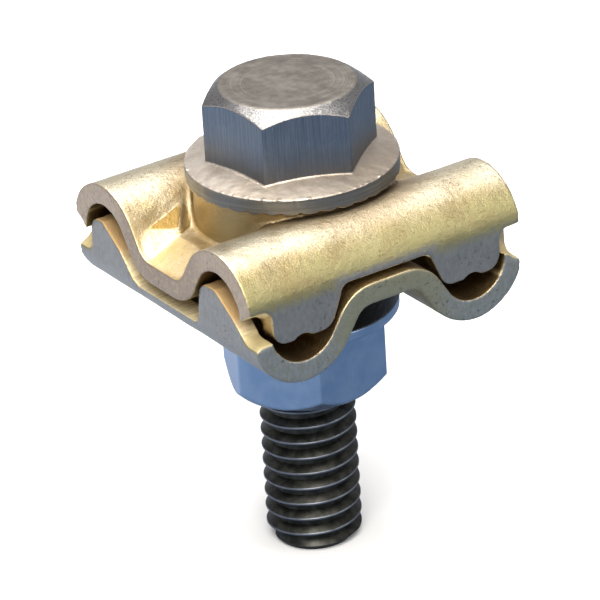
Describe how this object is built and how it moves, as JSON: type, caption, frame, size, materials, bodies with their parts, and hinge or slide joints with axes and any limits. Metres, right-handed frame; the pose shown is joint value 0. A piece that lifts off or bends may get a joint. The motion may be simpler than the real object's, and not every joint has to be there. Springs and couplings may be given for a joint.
{
  "type": "mesh bonding connector",
  "caption": "Crossed clamp plates of pressed brass on a hexagon flange bolt and flange nut, which bond crossing mesh wires or rods by gripping them in rounded channels.",
  "frame": {"origin": "on the bolt's axis, at the bolt's free end", "axes": "+Z along the bolt from its free end to its head, +X along the ridges of the upper plate, +Y along the ridges of the lower plate"},
  "size_m": [0.026, 0.026, 0.0408],
  "materials": {
    "bolt_steel": "turned and sheared stainless steel",
    "plate_brass": "pressed, bare, lightly rumbled",
    "nut_zinc": "blue zinc plated"
  },
  "bodies": {
    "lower_clamp": {"lower_plate": "plate_brass", "flange_nut": "nut_zinc"},
    "upper_clamp": {"upper_plate": "plate_brass"},
    "bolt": {"flange_bolt": "bolt_steel"}
  },
  "joints": [
    {"name": "plate_lift", "type": "slide", "parent": "lower_clamp", "child": "upper_clamp", "axis": [0, 0, 1], "range_m": [0, 0.01129]},
    {"name": "bolt_turn", "type": "hinge", "parent": "upper_clamp", "child": "bolt", "pos_m": [0, 0, 0.033], "axis": [0, 0, 1], "range_deg": [0, 2880]}
  ],
  "couplings": [
    {"joint": "bolt_turn", "follows": "plate_lift", "rad_per_m": 4452.7}
  ]
}
